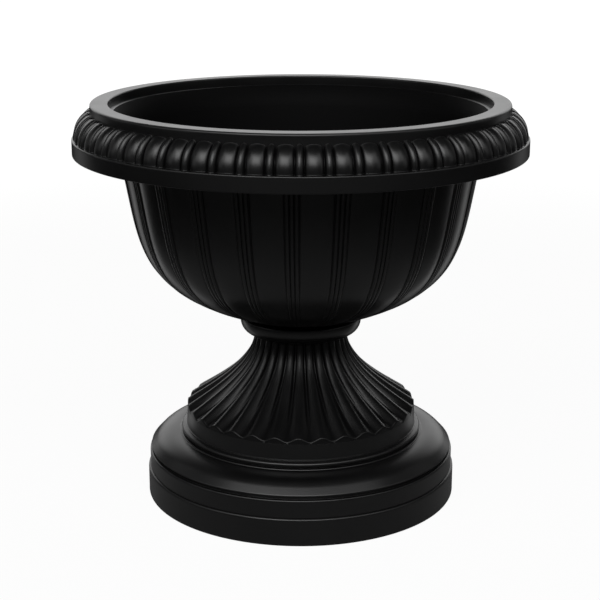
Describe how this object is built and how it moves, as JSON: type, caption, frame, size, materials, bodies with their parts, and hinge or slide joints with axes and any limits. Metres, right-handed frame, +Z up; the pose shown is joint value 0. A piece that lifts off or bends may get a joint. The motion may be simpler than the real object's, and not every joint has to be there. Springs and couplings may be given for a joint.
{
  "type": "goblet planter",
  "caption": "Goblet-shaped garden planter: a deep reeded bowl with a gadrooned rim on a fluted pedestal with a stepped round base, and a drain plug in its floor.",
  "frame": {"origin": "centre of the base on the ground", "axes": "+Z up along the planter's axis, the pictured front towards -Y"},
  "size_m": [0.46, 0.46, 0.414],
  "materials": {
    "black_plastic": "satin to glossy moulded polypropylene, black through the wall",
    "screw_steel": "zinc-plated self-tapping screws",
    "plug_rubber": "matte black rubber"
  },
  "bodies": {
    "pedestal": {"base_ring": "black_plastic", "base_ring_screws": "screw_steel", "plinth": "black_plastic", "stem": "black_plastic", "stem_screws": "screw_steel", "collar_ring": "black_plastic"},
    "bowl": {"bowl": "black_plastic", "rim_ring": "black_plastic", "rim_screws": "screw_steel"},
    "plug": {"drain_plug": "plug_rubber"}
  },
  "joints": [
    {"name": "bowl_lift", "type": "slide", "parent": "pedestal", "child": "bowl", "axis": [0, 0, 1], "range_m": [0, 0.12]},
    {"name": "plug_pull", "type": "slide", "parent": "bowl", "child": "plug", "axis": [0, 0, 1], "range_m": [0, 0.05]}
  ]
}
